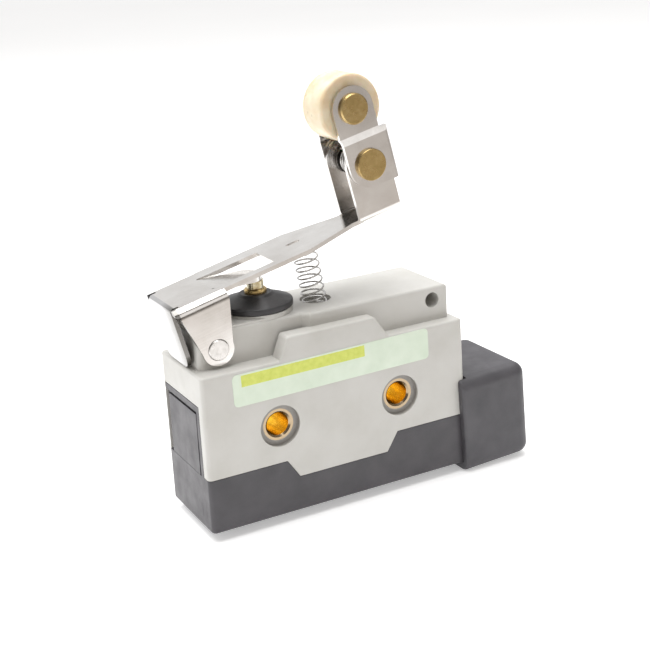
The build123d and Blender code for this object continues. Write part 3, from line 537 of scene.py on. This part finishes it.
def make_return_spring():
    """Open coil spring that holds the lever up, built as one fixed coil on the housing."""
    foot = RETURN_FOOT
    path = coil_path(foot, RETURN_CROWN, RETURN_COIL_R, RETURN_TURNS, 1.0, 0.42 * MM)
    spring = tube("return_spring_wire", path, RETURN_WIRE_R, spring_steel)
    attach(spring, "housing")
    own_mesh(spring)
    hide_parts("lever_return_spring")


def make_overtravel_spring():
    """Small spring between the plunger's hollow foot and the inner switch's pin."""
    low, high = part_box("plunger_overtravel_spring")
    foot = Vector((PLUNGER.x, AXIS_Y, low.z + 0.1 * MM))
    crown = Vector((PLUNGER.x, AXIS_Y, high.z - 0.1 * MM))
    path = coil_path(foot, crown, OVERTRAVEL_COIL_R, 5, 1.0, 0.2 * MM, 24)
    wire = tube("overtravel_spring_wire", path, OVERTRAVEL_WIRE_R, spring_steel, 10)
    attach(wire, "housing")
    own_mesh(wire)
    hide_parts("plunger_overtravel_spring")


def make_torsion_spring():
    """Close coil round the knuckle's rivet, ending in a short straight leg."""
    low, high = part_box("knuckle_torsion_spring")
    start = Vector((RIVET.x, low.y + 0.2 * MM, RIVET.z))
    end = Vector((RIVET.x, high.y - 0.2 * MM, RIVET.z))
    path = []
    count = int(TORSION_TURNS * 36)
    for i in range(count + 1):
        share = i / count
        angle = 2 * math.pi * TORSION_TURNS * share + LEVER_TILT
        across = Vector((math.cos(angle), 0.0, math.sin(angle))) * TORSION_COIL_R
        path.append(start.lerp(end, share) + across)
    for _ in range(TORSION_LEG_STEPS):
        last = path[-1] - path[-2]
        path.append(path[-1] + last.normalized() * 0.25 * MM)
    wire = tube("torsion_spring_wire", path, TORSION_WIRE_R, spring_steel, 12)
    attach(wire, "knuckle")
    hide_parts("knuckle_torsion_spring")


# ---- finishes of the carried-over parts ------------------------------------------------------------
def dress(surfaces):
    """Gives each carried-over part its material."""
    for mat, names in surfaces:
        for name in names:
            for slot in nodes[name].material_slots:
                slot.material = mat


# ---- stage, lights and camera -------------------------------------------------------------------------
FLOOR_FADE = (-0.15, -0.09)
BACKDROP_WAY = (-0.15, 0.75, 0.62)
BACKDROP_COLOUR = (0.98, 0.98, 0.98, 1.0)
ROOM_COLOUR = (0.22, 0.20, 0.18, 1.0)
CAMERA_PLACE = (-0.099852, -0.213073, 0.088970)
CAMERA_ANGLES = (-26.748, 18.307, -3.676)


def make_floor():
    """Pale paper, shading to a warmer grey well in front of the switch."""
    low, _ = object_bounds()
    reach = 12.0
    level = low[2]
    points = [
        (-reach, -reach, level), (reach, -reach, level),
        (reach, reach, level), (-reach, reach, level),
    ]
    mat = material("floor_paper", Roughness=0.85, Emission_Strength=0.36)
    nearness = spread(mat, object_axes(mat)["Y"], 1.0, 0.0, FLOOR_FADE[0], FLOOR_FADE[1])
    paper = ramp(mat, noise(mat, 6.0), [(0.3, (0.86, 0.86, 0.86)), (0.7, (0.89, 0.89, 0.89))])
    colour = blend_colour(mat, nearness, paper, (0.44, 0.41, 0.385))
    glow = blend_colour(mat, nearness, (1.0, 1.0, 1.0), (0.28, 0.26, 0.24))
    link(mat, glow, shader_of(mat).inputs["Emission Color"])
    finish_surface(mat, colour, None, bump(mat, noise(mat, 900.0), 0.01 * MM))
    mesh_piece("floor", points, [(0, 1, 2, 3)], mat, smooth=False)


def soft_light(name, place, target, size, power):
    """A rectangular soft light aimed at a point."""
    data = bpy.data.lights.new(name, "AREA")
    data.shape = "RECTANGLE"
    data.size, data.size_y = size
    data.energy = power
    lamp = bpy.data.objects.new(name, data)
    lamp.location = place
    lamp.rotation_euler = (Vector(target) - Vector(place)).to_track_quat("-Z", "Y").to_euler()
    bpy.context.scene.collection.objects.link(lamp)


def make_lights():
    """A dim warm room in front, a bright backdrop behind and above, and three large soft lights."""
    world = bpy.data.worlds.new("studio")
    bpy.context.scene.world = world
    world.use_nodes = True
    tree = world.node_tree
    place = tree.nodes.new("ShaderNodeTexCoord")
    facing = tree.nodes.new("ShaderNodeVectorMath")
    facing.operation = "DOT_PRODUCT"
    facing.inputs[1].default_value = BACKDROP_WAY
    tree.links.new(place.outputs["Generated"], facing.inputs[0])
    band = tree.nodes.new("ShaderNodeValToRGB")
    tree.links.new(facing.outputs["Value"], band.inputs["Fac"])
    room, backdrop = band.color_ramp.elements
    room.position, room.color = 0.0, ROOM_COLOUR
    backdrop.position, backdrop.color = 0.75, BACKDROP_COLOUR
    tree.links.new(band.outputs["Color"], tree.nodes["Background"].inputs["Color"])
    tree.nodes["Background"].inputs["Strength"].default_value = 0.92
    soft_light("top_light", (-0.05, 0.05, 0.55), (0.0, 0.0, 0.02), (0.6, 0.6), 4.4)
    soft_light("left_light", (-0.55, -0.10, 0.25), (0.0, 0.0, 0.02), (0.4, 0.4), 0.15)
    soft_light("front_light", (0.15, -0.50, 0.36), (0.0, 0.0, 0.03), (0.5, 0.3), 0.45)


def make_camera():
    """Camera in front, to the left and a little above, with a long lens."""
    data = bpy.data.cameras.new("camera")
    data.sensor_width = 36.0
    data.lens = 69.62
    data.clip_start = 0.01
    camera = bpy.data.objects.new("camera", data)
    heading, height, roll = (math.radians(a) for a in CAMERA_ANGLES)
    turn = (Matrix.Rotation(heading, 4, "Z") @ Matrix.Rotation(math.pi / 2 - height, 4, "X")
            @ Matrix.Rotation(roll, 4, "Z"))
    camera.matrix_world = Matrix.Translation(CAMERA_PLACE) @ turn
    bpy.context.scene.collection.objects.link(camera)
    bpy.context.scene.camera = camera


make_label()
make_seal()
make_return_spring()
make_overtravel_spring()
make_torsion_spring()
dress([
    (paint_counterbore_shade(case_plastic), ["case_shell"]),
    (base_plastic, ["base_cover"]),
    (boot_rubber, ["terminal_boot", "inlet_grommet"]),
    (seal_rubber, ["base_gasket"]),
    (switch_moulding, ["switch_case", "switch_cover", "switch_pin"]),
    (plated_lever(), ["actuating_lever"]),
    (knuckle_steel, ["one_way_knuckle"]),
    (pin_steel, ["lever_pivot_pin"]),
    (screw_steel, ["base_screws", "terminal_screws", "terminal_washers"]),
    (head_brass, ["roller_axle", "knuckle_rivet", "plunger_collar"]),
    (sleeve_steel, ["rivet_sleeve"]),
    (bushing(), ["mounting_bushes"]),
    (stem_brass, ["plunger", "plunger_guide", "common_terminal", "normally_open_terminal",
                  "normally_closed_terminal", "normally_closed_bracket", "switch_cover_rivets"]),
    (spring_copper, ["snap_blade", "snap_spring"]),
    (contact_metal, ["moving_contact", "normally_open_contact", "normally_closed_contact"]),
    (nylon(), ["roller"]),
])
make_floor()
make_lights()
make_camera()
bpy.context.scene.view_settings.view_transform = "Standard"
